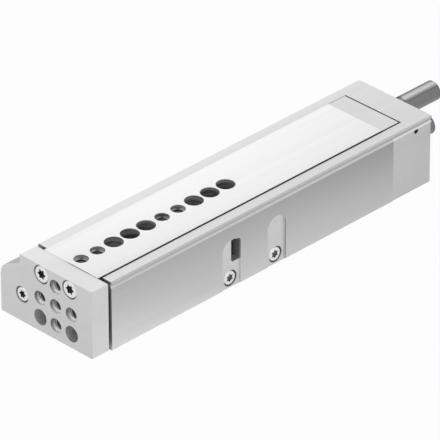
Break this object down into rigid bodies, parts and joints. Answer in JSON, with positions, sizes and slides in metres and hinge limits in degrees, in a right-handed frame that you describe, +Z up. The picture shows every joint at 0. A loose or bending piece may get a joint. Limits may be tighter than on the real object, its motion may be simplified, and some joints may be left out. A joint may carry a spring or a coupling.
{
  "type": "pneumatic slide table",
  "caption": "Compact pneumatic slide table: a cylinder in the housing pushes a ball-guided slide and yoke plate along a straight stroke, with shock absorbers at the end stops.",
  "frame": {"origin": "on the base face, under the slide's centre line, half way along the housing", "axes": "+X the way the slide and yoke plate extend, +Y from the cylinder side across to the stop side, +Z up from the base to the slide's top"},
  "size_m": [0.2533, 0.0586, 0.0359],
  "materials": {
    "housing_anodised": "satin clear anodised",
    "plate_anodised": "satin clear anodised",
    "slide_steel": "fine ground",
    "rail_steel": "ground, hardened",
    "fastener_steel": "nickel plated",
    "nut_steel": "nickel plated",
    "shock_coating": "dark nitrided, fine threads",
    "hard_chrome": "polished",
    "bearing_steel": "polished",
    "turned_aluminium": "fine turned",
    "stop_steel": "milled",
    "clip_steel": "phosphated",
    "seal_rubber": "smooth",
    "bush_bronze": "sintered",
    "cage_plastic": "moulded",
    "guide_plastic": "moulded",
    "magnet_plastic": "bonded ferrite"
  },
  "bodies": {
    "housing": {"housing": "housing_anodised", "guide_rail_left": "rail_steel", "guide_rail_right": "rail_steel", "bearing_cap": "turned_aluminium", "rod_bush": "bush_bronze", "rod_seal": "seal_rubber", "cap_o_ring": "seal_rubber", "circlip": "clip_steel", "stop_bar": "stop_steel", "stop_bar_screws": "fastener_steel", "retract_shock_body": "shock_coating", "retract_shock_nut": "nut_steel"},
    "slide": {"slide": "slide_steel", "yoke_plate": "plate_anodised", "yoke_slide_screws": "fastener_steel", "yoke_rod_screw": "fastener_steel", "piston_rod": "hard_chrome", "piston": "turned_aluminium", "piston_seal": "seal_rubber", "magnet_ring": "magnet_plastic", "guide_ring": "guide_plastic", "piston_nut": "nut_steel", "stop_block": "plate_anodised", "stop_block_screws": "fastener_steel", "extend_shock_body": "shock_coating", "extend_shock_nut": "nut_steel"},
    "cage_left": {"cage_left": "cage_plastic", "balls_left": "bearing_steel"},
    "cage_right": {"cage_right": "cage_plastic", "balls_right": "bearing_steel"},
    "retract_plunger": {"retract_shock_plunger": "hard_chrome"},
    "extend_plunger": {"extend_shock_plunger": "hard_chrome"}
  },
  "joints": [
    {"name": "slide_travel", "type": "slide", "parent": "housing", "child": "slide", "axis": [1, 0, 0], "range_m": [0, 0.1]},
    {"name": "cage_left_travel", "type": "slide", "parent": "housing", "child": "cage_left", "axis": [1, 0, 0], "range_m": [0, 0.05]},
    {"name": "cage_right_travel", "type": "slide", "parent": "housing", "child": "cage_right", "axis": [1, 0, 0], "range_m": [0, 0.05]},
    {"name": "retract_plunger_travel", "type": "slide", "parent": "housing", "child": "retract_plunger", "axis": [1, 0, 0], "range_m": [0, 0.008]},
    {"name": "extend_plunger_travel", "type": "slide", "parent": "slide", "child": "extend_plunger", "axis": [1, 0, 0], "range_m": [-0.008, 0]}
  ],
  "couplings": [
    {"joint": "cage_left_travel", "follows": "slide_travel", "ratio": 0.5},
    {"joint": "cage_right_travel", "follows": "slide_travel", "ratio": 0.5},
    {"joint": "retract_plunger_travel", "follows": "slide_travel", "ratio": 0.08},
    {"joint": "extend_plunger_travel", "follows": "slide_travel", "ratio": -0.08}
  ]
}
